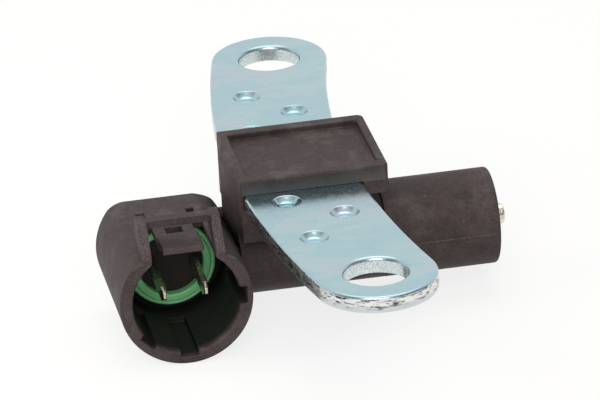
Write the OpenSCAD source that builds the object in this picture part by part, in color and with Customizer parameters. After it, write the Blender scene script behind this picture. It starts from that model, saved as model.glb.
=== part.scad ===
// Crankshaft position sensor: a moulded pick-up on a curved steel strip, with a side-facing plug socket.
// Origin midway between the two bolt holes on the underside of the strip, +X along the nose, +Z up.

/* [Mounting strip] */
// straight distance between the two bolt holes
hole_spacing = 74; // [66:1:84]
// radius of the strip's centre line in plan
strip_r = 164; // [140:1:200]
// width of the strip
strip_w = 16.1; // [14:0.1:18]
// thickness of the strip
strip_t = 2.2; // [1.8:0.1:3]
// diameter of the bolt holes
hole_d = 8.4; // [6.4:0.1:9]
// diameter of the pressed dimples
dimple_d = 3.5; // [2.4:0.1:4.2]
// diameter at the floor of the dimples
dimple_floor_d = 1.6; // [1:0.1:2.2]
// depth of the pressed dimples
dimple_depth = 0.9; // [0.4:0.1:1.2]
// angle from the middle to the first dimple
dimple_first = 4.15; // [4:0.05:4.6]
// angle between one dimple and the next
dimple_step = 2.1; // [1.8:0.05:2.3]
// distance of the dimples from the centre line
dimple_side = 3.1; // [2.4:0.1:3.6]
// depth of the anchoring notches inside the moulding
anchor_in = 1.6; // [1:0.1:2.4]
// length of the anchoring notches
anchor_l = 11; // [8:0.5:13]

/* [Moulded block] */
// plastic outside the strip's outer edge
block_skin = 0.2; // [0.2:0.02:0.6]
// plastic outside the strip's inner edge
block_lip = 3.8; // [2.6:0.1:5]
// depth of the block along the strip
block_d = 17.8; // [16:0.2:20]
// height of the block above the strip
block_h = 2.1; // [1.6:0.1:3]
// corner radius on the nose side
block_corner = 0.9; // [0.5:0.1:1.4]
// width of the rim at the two ends of the recess
rim_x = 1.15; // [0.8:0.05:1.8]
// width of the rim along the two sides of the recess
rim_y = 1.8; // [1.2:0.1:2.4]
// depth of the recess in the top
recess_depth = 0.9; // [0.5:0.1:1.3]
// corner radius of the recess
recess_corner = 0.5; // [0.3:0.1:1]
// height of the block's lower edge above the seating face
skirt_lift = 0.3; // [0.1:0.1:0.8]
// how far the block reaches below the seating face
foot_drop = 4.65; // [4:0.1:5.2]
// how far the foot stays inside the strip's inner edge
foot_set = 0.4; // [0.2:0.1:0.8]
// half width of the ridge on the socket side
ridge_half = 5.35; // [4:0.05:6]
// how far the ridge stands out
ridge_out = 1.2; // [0.6:0.1:1.8]

/* [Nose] */
// distance of the nose axis below the seating face
nose_drop = 8.9; // [8.4:0.1:9.8]
// diameter of the nose
nose_d = 13.1; // [12:0.1:14]
// how much slimmer and lower the nose is below the block
nose_relief = 0.25; // [0.2:0.05:0.5]
// end of the nose from the origin
nose_end = 23.1; // [21.5:0.1:27]
// edge radius at the end of the nose
nose_edge = 0.4; // [0.3:0.1:1.2]
// diameter of the pole pin
pole_d = 2.8; // [2.4:0.1:3.4]
// how far the pole pin stands out of the nose
pole_out = 1.7; // [1:0.1:3]

/* [Coil] */
// thickness of the plastic in front of the coil
nose_wall = 1.3; // [1:0.1:2]
// diameter of the bobbin flanges
bobbin_d = 9.8; // [9:0.1:10.2]
// thickness of the front flange
flange_t = 1; // [0.7:0.1:1.4]
// wall of the bobbin tube
tube_wall = 0.8; // [0.6:0.05:0.9]
// diameter over the winding
winding_d = 8.6; // [7.6:0.1:8.7]
// thickness of the tape over the winding
tape_t = 0.2; // [0.1:0.05:0.25]
// length of the winding
winding_l = 14.8; // [12:0.1:15.2]
// thickness of the rear flange
rear_flange_t = 2.2; // [1.6:0.1:2.6]
// diameter of the magnet
magnet_d = 5.2; // [4.4:0.1:5.6]
// length of the magnet
magnet_l = 7; // [5:0.1:7.4]
// diameter of the winding's lead wires
lead_d = 0.5; // [0.3:0.05:0.6]

/* [Plug socket] */
// distance of the socket axis from the block's left wall
socket_off = 9.05; // [8.9:0.05:9.6]
// outer diameter
socket_d = 17.9; // [17.2:0.1:18]
// inner diameter
socket_id = 14.4; // [13.8:0.1:14.8]
// mouth of the socket from the nose axis
socket_front = 15.7; // [14.6:0.1:17]
// closed end of the socket from the nose axis
socket_back = 4.9; // [4.7:0.1:5.4]
// floor of the socket from the nose axis
socket_floor = 1.2; // [0.8:0.1:1.6]
// height of the flat above the socket axis
flat_h = 6.5; // [6.45:0.05:6.8]
// distance from the middle to the falling sides of the flat
shoulder_x = 4.6; // [4.4:0.1:5.4]
// angle at which the sides of the flat fall
shoulder_angle = 22; // [12:1:30]
// width of the keyways
key_w = 2.4; // [1.8:0.1:3]
// depth of the keyway on the nose side
key_depth = 0.95; // [0.6:0.05:1]
// depth of the slanting keyway
key_slant_depth = 0.7; // [0.5:0.05:1]
// depth of the lowest keyway
key_low_depth = 0.7; // [0.5:0.05:1]
// length of the keyways
key_l = 11; // [6:0.5:12]
// bevel inside the mouth
mouth_bevel = 0.25; // [0.15:0.05:0.35]
// width between the two latch posts
latch_w = 8.6; // [7.6:0.1:9]
// thickness of a latch post
post_t = 1.25; // [0.9:0.05:1.4]
// top of the latch bar above the socket axis
bar_top = 10.8; // [10:0.1:12]
// thickness of the latch bar
bar_t = 1; // [0.7:0.1:1.4]
// depth of the latch bar
bar_d = 1.6; // [1.2:0.1:2.2]
// how far the posts lean back
post_lean = 3.2; // [2:0.1:4]
// depth of a leaning post
post_d = 3; // [2.2:0.1:3.6]
// height of a post's upright front face above the flat
post_foot = 0.35; // [0.1:0.05:0.6]
// corner cut off the back of a post
post_nip = 0.7; // [0.4:0.1:0.9]
// distance of a post's knee below the top of the bar
post_knee = 2.4; // [2:0.1:3]
// back edge of the latch window from the nose axis
window_back = 5.6; // [5:0.1:6.4]
// width of the tongue in the window
tongue_w = 5.5; // [4.4:0.1:6]
// how far the tongue is set towards the nose
tongue_shift = 0.2; // [0:0.05:0.3]
// thickness of the tongue and of the roof it grows from
tongue_t = 1; // [0.8:0.05:1.2]
// front edge of the tongue behind the mouth
tongue_set = 1.5; // [1.2:0.1:3]
// length of the raised front part of the tongue
ramp_l = 4.7; // [3.8:0.1:5.2]
// how far the front part of the tongue is raised
ramp_lift = 0.8; // [0.4:0.05:0.9]
// thickness of the raised front part
ramp_t = 0.9; // [0.7:0.05:1]
// length over which the two levels of the tongue lie on each other
ramp_lap = 1; // [0.8:0.1:1.6]
// width of the catch hole in the tongue
catch_w = 2.2; // [1.6:0.1:3]
// length of the catch hole in the tongue
catch_l = 1.8; // [1.2:0.1:2.4]
// width of the two pockets in the flat
pocket_w = 1.1; // [0.8:0.1:1.4]
// length of the two pockets in the flat
pocket_l = 1.9; // [1.2:0.1:2.2]
// depth of the two pockets in the flat
pocket_depth = 0.6; // [0.4:0.1:0.8]
// end of the two pockets from the nose axis
pocket_set = 0.1; // [0:0.1:1]
// distance of the pockets from the middle
pocket_x = 3.35; // [2.8:0.05:3.6]
// height of the neck above and below the socket axis
neck_half = 4; // [3.6:0.1:4.8]
// height of the web in front of the neck above and below the socket axis
web_half = 2; // [1.2:0.1:2.4]
// front of the web from the nose axis
web_front = 5.6; // [4.6:0.1:5.8]

/* [Seal and terminals] */
// outer diameter of the seal
seal_d = 12.2; // [11.6:0.1:13]
// diameter of the stub that carries the seal
stub_d = 8.8; // [8:0.1:9.2]
// length of the seal up to its shoulder
seal_l = 1.8; // [1.2:0.1:2.4]
// radius where the seal's shoulder meets its lip
lip_r = 5.5; // [5.2:0.05:5.7]
// how far the lip stands in front of the shoulder
lip_l = 0.35; // [0.2:0.05:0.6]
// width and depth of the groove round the lip
lip_groove = 0.12; // [0.1:0.02:0.2]
// bevel on the seal's edges
seal_bevel = 0.2; // [0.1:0.05:0.3]
// room around the seal for the plug's skirt
seal_room = 0.1; // [0.05:0.05:0.15]
// room in front of the seal's shoulder
seal_front = 1.3; // [1:0.1:1.6]
// length of the stub in front of the floor
stub_l = 1; // [0.6:0.1:1.4]
// distance between the two blades
blade_pitch = 5.6; // [5:0.1:6]
// how far the pair of blades is set towards the nose
blade_shift = 0.3; // [0:0.05:0.4]
// thickness of a blade
blade_t = 0.75; // [0.5:0.05:0.9]
// height of a blade
blade_h = 2; // [1.4:0.1:2.2]
// blade tip behind the mouth
blade_set = 2.7; // [2.2:0.1:4.5]
// height of the bevel at a blade's tip
blade_bevel = 0.6; // [0.3:0.05:0.65]
// length of the bevel at a blade's tip
blade_tip_l = 0.9; // [0.6:0.1:1.2]
// length of the flag that takes a lead wire
flag_l = 1.6; // [1.2:0.1:2]
// depth of the groove in a flag that a lead wire lies in
lead_bed = 0.15; // [0.1:0.05:0.2]
// distance of the first tail from the nose axis
tail_near = 0.6; // [0.4:0.1:0.9]
// distance of the second tail from the nose axis
tail_far = 3.1; // [2.8:0.1:3.2]
// plastic around the tails
carrier_wall = 0.6; // [0.5:0.05:0.7]

/* [Hidden] */
$fn = 64;
eps = 0.5;
lap = 0.1;
slant_angle = 224;
keys = [[0, key_depth], [slant_angle, key_slant_depth], [270, key_low_depth]];
arc_x = sqrt(strip_r * strip_r - hole_spacing * hole_spacing / 4);
strip_sag = strip_r - arc_x;
hole_angle = asin(hole_spacing / 2 / strip_r);
block_x0 = -(strip_sag + strip_w / 2 + block_skin);
block_x1 = strip_w / 2 - strip_sag + block_lip;
block_z1 = strip_t + block_h;
foot_x1 = strip_w / 2 - strip_sag - foot_set;
axis_z = -nose_drop;
nose_r = nose_d / 2;
coil_x1 = nose_end - nose_wall;
winding_x1 = coil_x1 - flange_t;
winding_x0 = winding_x1 - winding_l;
magnet_x1 = winding_x0 - rear_flange_t;
magnet_x0 = magnet_x1 - magnet_l;
tube_r = pole_d / 2 + tube_wall;
tape_r = winding_d / 2 + tape_t;
lead_r = lead_d / 2;
socket_x = block_x0 - socket_off;
post_x = latch_w / 2;
lead_far_z = blade_h / 2 + lead_r - lead_bed;
lead_near_z = (magnet_d + bobbin_d) / 4;
flag_near_z = lead_near_z - lead_r + lead_bed;
tail_x1 = magnet_x0 - carrier_wall;
carrier_y0 = tail_near - blade_t / 2 - carrier_wall;
carrier_y1 = tail_far + blade_t / 2 + carrier_wall;
carrier_z0 = -blade_h / 2 - carrier_wall;
carrier_z1 = lead_near_z + lead_r + carrier_wall;
arm_z1 = blade_h / 2 + carrier_wall;
roof_z = flat_h - tongue_t;
tongue_y0 = -socket_front + tongue_set;
ramp_y1 = tongue_y0 + ramp_l;
wedge_r = 2 * strip_r;

module at_nose() {
    translate([0, 0, axis_z])
        children();
}

module at_socket() {
    translate([socket_x, 0, axis_z])
        children();
}

// round bar along X between two stations
module rod(x0, x1, r) {
    translate([x0, 0, 0])
        rotate([0, 90, 0])
            cylinder(h = x1 - x0, r = r);
}

// round bar along Y from the far end y1 to the near end y0
module bore(y0, y1, r) {
    translate([0, y1, 0])
        rotate([90, 0, 0])
            cylinder(h = y1 - y0, r = r);
}

// box from its two corners
module span(x0, x1, y0, y1, z0, z1) {
    translate([x0, y0, z0])
        cube([x1 - x0, y1 - y0, z1 - z0]);
}

// box with rounded upright edges
module pad(x0, x1, y0, y1, z0, z1, r) {
    span(x0 + r, x1 - r, y0, y1, z0, z1);
    span(x0, x1, y0 + r, y1 - r, z0, z1);
    for (x = [x0 + r, x1 - r])
        for (y = [y0 + r, y1 - r])
            translate([x, y, z0])
                cylinder(h = z1 - z0, r = r);
}

// the strip's curved band with its rounded ends
module strip_band() {
    intersection() {
        difference() {
            translate([arc_x, 0, 0])
                cylinder(h = strip_t, r = strip_r + strip_w / 2, $fn = 360);
            translate([arc_x, 0, -eps])
                cylinder(h = strip_t + 2 * eps, r = strip_r - strip_w / 2, $fn = 360);
        }
        linear_extrude(height = strip_t)
            polygon([[arc_x, 0],
                [arc_x - wedge_r * cos(hole_angle), wedge_r * sin(hole_angle)],
                [arc_x - wedge_r * cos(hole_angle), -wedge_r * sin(hole_angle)]]);
    }
    for (side = [-1, 1])
        translate([0, side * hole_spacing / 2, 0])
            cylinder(h = strip_t, r = strip_w / 2);
}

// the strip as it lies in the moulding, waisted by the two anchoring notches
module strip_insert() {
    difference() {
        strip_band();
        span(-strip_sag - strip_w, -strip_sag - strip_w / 2 + anchor_in, -anchor_l / 2, anchor_l / 2,
            -eps, strip_t + eps);
        span(-strip_sag + strip_w / 2 - anchor_in, strip_w, -anchor_l / 2, anchor_l / 2, -eps, strip_t + eps);
    }
}

// cutter of one pressed dimple, its floor at the origin
module dimple() {
    cylinder(h = dimple_depth, d1 = dimple_floor_d, d2 = dimple_d);
    translate([0, 0, dimple_depth])
        cylinder(h = eps, d = dimple_d);
}

module mounting_strip() {
    color([0.7, 0.76, 0.8])
        difference() {
            strip_insert();
            for (side = [-1, 1])
                translate([0, side * hole_spacing / 2, -eps])
                    cylinder(h = strip_t + 2 * eps, d = hole_d);
            for (side = [-1, 1])
                for (k = [0, 1, 2])
                    translate([arc_x, 0, strip_t - dimple_depth])
                        rotate([0, 0, side * (dimple_first + k * dimple_step)])
                            translate([-strip_r - (k == 1 ? -1 : 1) * dimple_side, 0, 0])
                                dimple();
        }
}

// block over the strip, its foot below the strip and the ridge on the socket side
module block_body() {
    inner_x1 = block_x1 - block_corner;
    inner_y = block_d / 2 - block_corner;
    difference() {
        union() {
            span(block_x0, inner_x1, -block_d / 2, block_d / 2, skirt_lift, block_z1);
            span(block_x0, block_x1, -inner_y, inner_y, skirt_lift, block_z1);
            for (side = [-1, 1])
                translate([inner_x1, side * inner_y, skirt_lift])
                    cylinder(h = block_z1 - skirt_lift, r = block_corner);
            span(block_x0, foot_x1, -block_d / 2, block_d / 2, -foot_drop, strip_t);
            translate([0, 0, axis_z])
                linear_extrude(height = block_z1 - axis_z)
                    polygon([[block_x0 + rim_x, ridge_half], [block_x0, ridge_half],
                        [block_x0 - ridge_out, 0],
                        [block_x0, -ridge_half], [block_x0 + rim_x, -ridge_half]]);
        }
        pad(block_x0 + rim_x, block_x1 - rim_x, -block_d / 2 + rim_y, block_d / 2 - rim_y,
            block_z1 - recess_depth, block_z1 + eps, recess_corner);
    }
}

// round nose with a rounded end, a little slimmer below the block with its lowest line kept
module nose_body() {
    at_nose() {
        translate([0, 0, -nose_relief])
            rod(block_x0, block_x1 + lap, nose_r - nose_relief);
        rod(block_x1, nose_end - nose_edge, nose_r);
        rod(nose_end - 2 * nose_edge, nose_end, nose_r - nose_edge);
        translate([nose_end - nose_edge, 0, 0])
            rotate([0, 90, 0])
                rotate_extrude()
                    translate([nose_r - nose_edge, 0])
                        circle(r = nose_edge, $fn = 32);
    }
}

// one latch post, leaning back from the mouth
module latch_post() {
    post_root = roof_z - tongue_t;
    back_y = post_lean + post_d;
    rotate([90, 0, 90])
        translate([-socket_front, 0])
            linear_extrude(height = post_t)
                polygon([[0, post_root], [0, flat_h + post_foot], [post_lean, bar_top],
                    [back_y - post_nip, bar_top], [back_y, bar_top - post_nip],
                    [back_y - post_nip / 2, bar_top - post_knee], [post_d, flat_h], [post_d, post_root]]);
}

// what the flat and its two falling sides take off the socket
module flat_cut() {
    y0 = -socket_front - eps;
    y1 = socket_back + eps;
    span(-socket_d, socket_d, y0, y1, flat_h, socket_d);
    for (side = [-1, 1])
        translate([side * shoulder_x, 0, flat_h])
            rotate([0, side * shoulder_angle, 0])
                span(min(0, side * socket_d), max(0, side * socket_d), y0, y1, 0, socket_d);
}

// outside of the socket with its flat and the two latch posts
module socket_body() {
    at_socket() {
        difference() {
            bore(-socket_front, socket_back, socket_d / 2);
            flat_cut();
        }
        for (x = [-post_x - post_t, post_x])
            translate([x, 0, 0])
                latch_post();
    }
}

// inside of the socket: bore, room for the seal, keyways, latch window and pockets
module socket_room() {
    at_socket() {
        difference() {
            bore(-socket_front - eps, -socket_floor, socket_id / 2);
            span(-socket_d, socket_d, -window_back, 0, roof_z, socket_d);
        }
        translate([0, -socket_front + mouth_bevel, 0])
            rotate([90, 0, 0])
                cylinder(h = 2 * mouth_bevel, r1 = socket_id / 2, r2 = socket_id / 2 + 2 * mouth_bevel);
        bore(-socket_floor - seal_l - seal_front, -socket_floor, seal_d / 2 + seal_room);
        for (key = keys)
            rotate([0, -key[0], 0])
                span(0, socket_id / 2 + key[1], -socket_front - eps, -socket_front + key_l,
                    -key_w / 2, key_w / 2);
        span(-post_x, post_x, -socket_front - eps, -window_back, roof_z - eps, socket_d);
        for (side = [-1, 1])
            span(side * pocket_x - pocket_w / 2, side * pocket_x + pocket_w / 2,
                -pocket_set - pocket_l, -pocket_set, flat_h - pocket_depth, flat_h + eps);
    }
}

// tongue with its raised front and catch hole, and the latch bar above it
module latch_parts() {
    ramp_top = flat_h + ramp_lift;
    at_socket() {
        difference() {
            translate([tongue_shift - tongue_w / 2, 0, 0])
                rotate([90, 0, 90])
                    linear_extrude(height = tongue_w)
                        polygon([[-window_back + eps, roof_z], [-window_back + eps, flat_h], [ramp_y1, flat_h],
                            [ramp_y1, ramp_top], [tongue_y0, ramp_top], [tongue_y0, ramp_top - ramp_t],
                            [ramp_y1 - ramp_lap, ramp_top - ramp_t], [ramp_y1 - ramp_lap, roof_z]]);
            span(tongue_shift - catch_w / 2, tongue_shift + catch_w / 2, -window_back - catch_l, -window_back,
                roof_z - eps, flat_h + eps);
        }
        span(-post_x - post_t / 2, post_x + post_t / 2,
            -socket_front + post_lean, -socket_front + post_lean + bar_d, bar_top - bar_t, bar_top);
    }
}

// bridge of plastic between the socket and the nose, with a lower web in front of it
module neck_body() {
    at_socket() {
        span(0, socket_off + lap, -socket_floor, socket_back, -neck_half, neck_half);
        span(0, socket_off + lap, -web_front, socket_back, -web_half, web_half);
    }
}

// room that the coil unit fills inside the nose
module coil_room() {
    at_nose() {
        rod(magnet_x0, winding_x0, bobbin_d / 2);
        rod(winding_x0 - lap, winding_x1 + lap, tape_r);
        rod(winding_x1, coil_x1, bobbin_d / 2);
        rod(coil_x1 - lap, nose_end + eps, pole_d / 2);
    }
}

// outside of the terminal carrier
module carrier_form() {
    at_socket() {
        bore(-socket_floor - stub_l, carrier_y1, stub_d / 2);
    }
    at_nose() {
        span(socket_x, magnet_x0, carrier_y0, carrier_y1, carrier_z0, arm_z1);
        span(magnet_x0 - flag_l - 2 * carrier_wall, magnet_x0, carrier_y0, carrier_y1,
            carrier_z0, carrier_z1);
    }
}

module housing() {
    color([0.17, 0.15, 0.15])
        difference() {
            union() {
                difference() {
                    union() {
                        block_body();
                        nose_body();
                        socket_body();
                        neck_body();
                    }
                    socket_room();
                }
                latch_parts();
            }
            strip_insert();
            coil_room();
            carrier_form();
        }
}

module connector_seal() {
    ring_in = stub_d / 2;
    ring_out = seal_d / 2;
    lip_z = seal_l + lip_l;
    color([0.4, 0.72, 0.44])
        at_socket()
            translate([0, -socket_floor, 0])
                rotate([90, 0, 0])
                    rotate_extrude()
                        polygon([[ring_in, 0], [ring_out, 0], [ring_out, seal_l - seal_bevel],
                            [ring_out - seal_bevel, seal_l], [lip_r + lip_groove, seal_l],
                            [lip_r, seal_l - lip_groove], [lip_r, lip_z - seal_bevel],
                            [lip_r - seal_bevel, lip_z], [ring_in + seal_bevel, lip_z],
                            [ring_in, lip_z - seal_bevel]]);
}

// lead wires' paths from the winding to the tails
module lead_wires() {
    at_nose() {
        translate([0, tail_far, lead_far_z])
            rod(tail_x1 - flag_l, winding_x0, lead_r);
        translate([0, tail_near, lead_near_z])
            rod(tail_x1 - flag_l, winding_x0, lead_r);
    }
}

module terminal_carrier() {
    color([0.13, 0.12, 0.12])
        difference() {
            carrier_form();
            terminal_form(-1, tail_far, blade_h / 2);
            terminal_form(1, tail_near, flag_near_z);
            lead_wires();
        }
}

// one stamped terminal: blade, tail and the flag that takes the lead wire
module terminal_form(side, tail_y, flag_z) {
    blade_x = blade_shift + side * blade_pitch / 2;
    tip_y = -socket_front + blade_set;
    at_socket() {
        intersection() {
            translate([blade_x - blade_t / 2, 0, 0])
                rotate([90, 0, 90])
                    linear_extrude(height = blade_t)
                        polygon([[tip_y, -blade_h / 2 + blade_bevel], [tip_y + blade_tip_l, -blade_h / 2],
                            [tail_y + blade_t / 2, -blade_h / 2], [tail_y + blade_t / 2, blade_h / 2],
                            [tip_y + blade_tip_l, blade_h / 2], [tip_y, blade_h / 2 - blade_bevel]]);
            translate([blade_x, 0, -blade_h])
                linear_extrude(height = 2 * blade_h)
                    polygon([[-blade_t / 4, tip_y], [blade_t / 4, tip_y], [blade_t / 2, tip_y + blade_tip_l],
                        [blade_t / 2, tail_y + blade_t], [-blade_t / 2, tail_y + blade_t],
                        [-blade_t / 2, tip_y + blade_tip_l]]);
        }
        span(blade_x, tail_x1 - socket_x, tail_y - blade_t / 2, tail_y + blade_t / 2,
            -blade_h / 2, blade_h / 2);
        span(tail_x1 - socket_x - flag_l, tail_x1 - socket_x, tail_y - blade_t / 2, tail_y + blade_t / 2,
            -blade_h / 2, flag_z);
    }
}

module terminal_left() {
    color([0.62, 0.58, 0.5])
        difference() {
            terminal_form(-1, tail_far, blade_h / 2);
            lead_wires();
        }
}

module terminal_right() {
    color([0.62, 0.58, 0.5])
        difference() {
            terminal_form(1, tail_near, flag_near_z);
            lead_wires();
        }
}

module coil_bobbin() {
    color([0.85, 0.8, 0.68])
        difference() {
            at_nose()
                difference() {
                    union() {
                        rod(winding_x1, coil_x1, bobbin_d / 2);
                        rod(winding_x0 - lap, winding_x1 + lap, tube_r);
                        rod(magnet_x0, winding_x0, bobbin_d / 2);
                    }
                    rod(magnet_x0 - eps, coil_x1 + eps, pole_d / 2);
                    rod(magnet_x0 - eps, magnet_x1, magnet_d / 2);
                }
            lead_wires();
        }
}

module coil_winding() {
    color([0.72, 0.4, 0.2]) {
        at_nose()
            difference() {
                rod(winding_x0, winding_x1, winding_d / 2);
                rod(winding_x0 - eps, winding_x1 + eps, tube_r);
            }
        lead_wires();
    }
}

module winding_tape() {
    color([0.85, 0.72, 0.25])
        at_nose()
            difference() {
                rod(winding_x0, winding_x1, tape_r);
                rod(winding_x0 - eps, winding_x1 + eps, winding_d / 2);
            }
}

module pole_pin() {
    color([0.75, 0.72, 0.66])
        at_nose()
            rod(magnet_x1, nose_end + pole_out, pole_d / 2);
}

module bias_magnet() {
    color([0.35, 0.35, 0.37])
        at_nose()
            rod(magnet_x0, magnet_x1, magnet_d / 2);
}

mounting_strip();
housing();
connector_seal();
terminal_carrier();
terminal_left();
terminal_right();
coil_bobbin();
coil_winding();
winding_tape();
pole_pin();
bias_magnet();
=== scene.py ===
import math
import bmesh
import bpy
from mathutils import Matrix, Vector


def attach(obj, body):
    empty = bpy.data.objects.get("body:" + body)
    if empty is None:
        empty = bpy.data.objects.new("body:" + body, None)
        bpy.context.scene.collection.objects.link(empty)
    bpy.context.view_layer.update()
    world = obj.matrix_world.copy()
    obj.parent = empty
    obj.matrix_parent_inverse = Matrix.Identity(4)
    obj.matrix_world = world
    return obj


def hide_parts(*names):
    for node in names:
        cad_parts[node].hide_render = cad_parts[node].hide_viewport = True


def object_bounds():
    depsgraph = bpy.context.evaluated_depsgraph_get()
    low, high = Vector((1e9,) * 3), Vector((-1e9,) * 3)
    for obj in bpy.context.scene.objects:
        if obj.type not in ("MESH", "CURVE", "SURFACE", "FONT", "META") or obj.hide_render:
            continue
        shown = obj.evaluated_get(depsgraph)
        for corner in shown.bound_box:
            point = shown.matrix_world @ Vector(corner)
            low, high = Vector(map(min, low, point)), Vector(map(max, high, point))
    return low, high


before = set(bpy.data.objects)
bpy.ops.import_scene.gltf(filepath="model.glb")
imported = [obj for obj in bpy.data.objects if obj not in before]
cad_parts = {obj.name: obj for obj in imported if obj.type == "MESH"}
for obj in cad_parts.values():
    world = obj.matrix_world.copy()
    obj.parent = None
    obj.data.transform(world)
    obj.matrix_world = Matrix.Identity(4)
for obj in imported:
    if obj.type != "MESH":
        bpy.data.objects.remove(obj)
cadLow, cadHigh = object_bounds()
mm = 0.001
near = 0.05  # places closer than this, in mm, count as one
touch = 0.02  # the same, for single points
print("frame loaded:", len(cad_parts), "nodes")


def towards(azimuth, elevation):
    turn = math.radians(azimuth)
    lift = math.radians(elevation)
    return Vector((math.sin(turn) * math.cos(lift), -math.cos(turn) * math.cos(lift), math.sin(lift)))


# camera at the photograph's angle, the image taken as 600 x 400; lengths in mm, angles in degrees
photoView = {"azimuth": -9.754, "elevation": 24.04, "roll": 3.047, "lens": 342.29, "sensor": 36,
             "reach": 764.28, "aim": (-3.396, -2.190, -2.322), "farEnd": 10000}


def makeCamera(view):
    turn = math.radians(view["azimuth"])
    roll = math.radians(view["roll"])
    forward = -towards(view["azimuth"], view["elevation"])
    level = Vector((math.cos(turn), math.sin(turn), 0))
    down = forward.cross(level)
    right = level * math.cos(roll) + down * math.sin(roll)
    up = level * math.sin(roll) - down * math.cos(roll)
    data = bpy.data.cameras.new("photoCamera")
    data.lens = view["lens"]
    data.sensor_width = view["sensor"]
    data.clip_end = view["farEnd"] * mm
    camera = bpy.data.objects.new("photoCamera", data)
    bpy.context.scene.collection.objects.link(camera)
    place = Vector(view["aim"]) * mm - forward * view["reach"] * mm
    camera.matrix_world = Matrix.Translation(place) @ Matrix((right, up, -forward)).transposed().to_4x4()
    bpy.context.scene.camera = camera


makeCamera(photoView)
bpy.context.scene.view_settings.view_transform = "Standard"
print("camera placed")


# small helpers for node trees
def addNode(tree, kind, place, **values):
    node = tree.nodes.new(kind)
    node.location = place
    for key, value in values.items():
        setattr(node, key, value)
    return node


def setInputs(node, values):
    for label, value in values.items():
        node.inputs[label].default_value = value
    return node


def feed(tree, value, socket):
    if isinstance(value, (int, float)):
        socket.default_value = value
    elif isinstance(value, tuple):
        socket.default_value = (*value, 1)  # a colour
    else:
        tree.links.new(value, socket)


def mathNode(tree, place, operation, first, second=None):
    node = addNode(tree, "ShaderNodeMath", place, operation=operation)
    feed(tree, first, node.inputs[0])
    if second is not None:
        feed(tree, second, node.inputs[1])
    return node.outputs[0]


def rangeNode(tree, place, value, fromMin, fromMax, toMin=0, toMax=1, smooth=True):
    node = addNode(tree, "ShaderNodeMapRange", place, interpolation_type="SMOOTHSTEP" if smooth else "LINEAR")
    given = {"Value": value, "From Min": fromMin, "From Max": fromMax, "To Min": toMin, "To Max": toMax}
    for label, number in given.items():
        feed(tree, number, node.inputs[label])
    return node.outputs["Result"]


def mixColour(tree, place, factor, first, second):
    node = addNode(tree, "ShaderNodeMix", place, data_type="RGBA")
    feed(tree, factor, node.inputs[0])
    feed(tree, first, node.inputs[6])  # 6, 7 and 2 are the mix node's colour sockets
    feed(tree, second, node.inputs[7])
    return node.outputs[2]


def placeInMm(tree, place, stretch=(1, 1, 1)):
    spot = addNode(tree, "ShaderNodeTexCoord", place)
    scaled = addNode(tree, "ShaderNodeVectorMath", (place[0] + 180, place[1]), operation="MULTIPLY")
    scaled.inputs[1].default_value = tuple(share / mm for share in stretch)
    tree.links.new(spot.outputs["Object"], scaled.inputs[0])
    return scaled.outputs[0]


def splitAxes(tree, place, vector):
    node = addNode(tree, "ShaderNodeSeparateXYZ", place)
    tree.links.new(vector, node.inputs[0])
    return node.outputs


def facingAxes(tree, place, normal):
    facing = addNode(tree, "ShaderNodeNewGeometry", place)
    return splitAxes(tree, (place[0] + 200, place[1]), facing.outputs[normal])


def lengthOf(tree, place, first, second):
    total = mathNode(tree, (place[0] + 150, place[1]), "ADD", mathNode(tree, place, "MULTIPLY", first, first),
                     mathNode(tree, (place[0], place[1] - 150), "MULTIPLY", second, second))
    return mathNode(tree, (place[0] + 300, place[1]), "SQRT", total)


def noiseNode(tree, place, vector, scale, detail=3, rough=0.6):
    node = addNode(tree, "ShaderNodeTexNoise", place)
    given = {"Vector": vector, "Scale": scale, "Detail": detail, "Roughness": rough}
    for label, value in given.items():
        feed(tree, value, node.inputs[label])
    return node.outputs["Fac"]


def newGroup(name, inputs, outputs):
    group = bpy.data.node_groups.new(name, "ShaderNodeTree")
    for label, value in inputs.items():
        group.interface.new_socket(label, in_out="INPUT", socket_type="NodeSocketFloat").default_value = value
    for label in outputs:
        kind = "NodeSocketColor" if label == "Tint" else "NodeSocketFloat"
        group.interface.new_socket(label, in_out="OUTPUT", socket_type=kind)
    start = addNode(group, "NodeGroupInput", (-1100, 0))
    end = addNode(group, "NodeGroupOutput", (1100, 0))
    return group, start.outputs, end.inputs


def useGroup(tree, group, place, **values):
    node = addNode(tree, "ShaderNodeGroup", place, node_tree=group)
    for label, value in values.items():
        spaced = "".join(" " + letter if letter.isupper() else letter for letter in label)
        node.inputs[spaced.title()].default_value = value  # speckShare is the input Speck Share
    return node.outputs


def newMaterial(name):
    material = bpy.data.materials.new(name)
    material.use_nodes = True
    tree = material.node_tree
    shader = tree.nodes["Principled BSDF"]
    shader.location = (700, 0)
    tree.nodes["Material Output"].location = (1000, 0)
    return material, tree, shader.inputs


def bumpInto(tree, shader, height, strength, depth):
    bump = addNode(tree, "ShaderNodeBump", (400, -300))
    setInputs(bump, {"Strength": strength, "Distance": depth * mm})
    tree.links.new(height, bump.inputs["Height"])
    tree.links.new(bump.outputs["Normal"], shader["Normal"])


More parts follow.
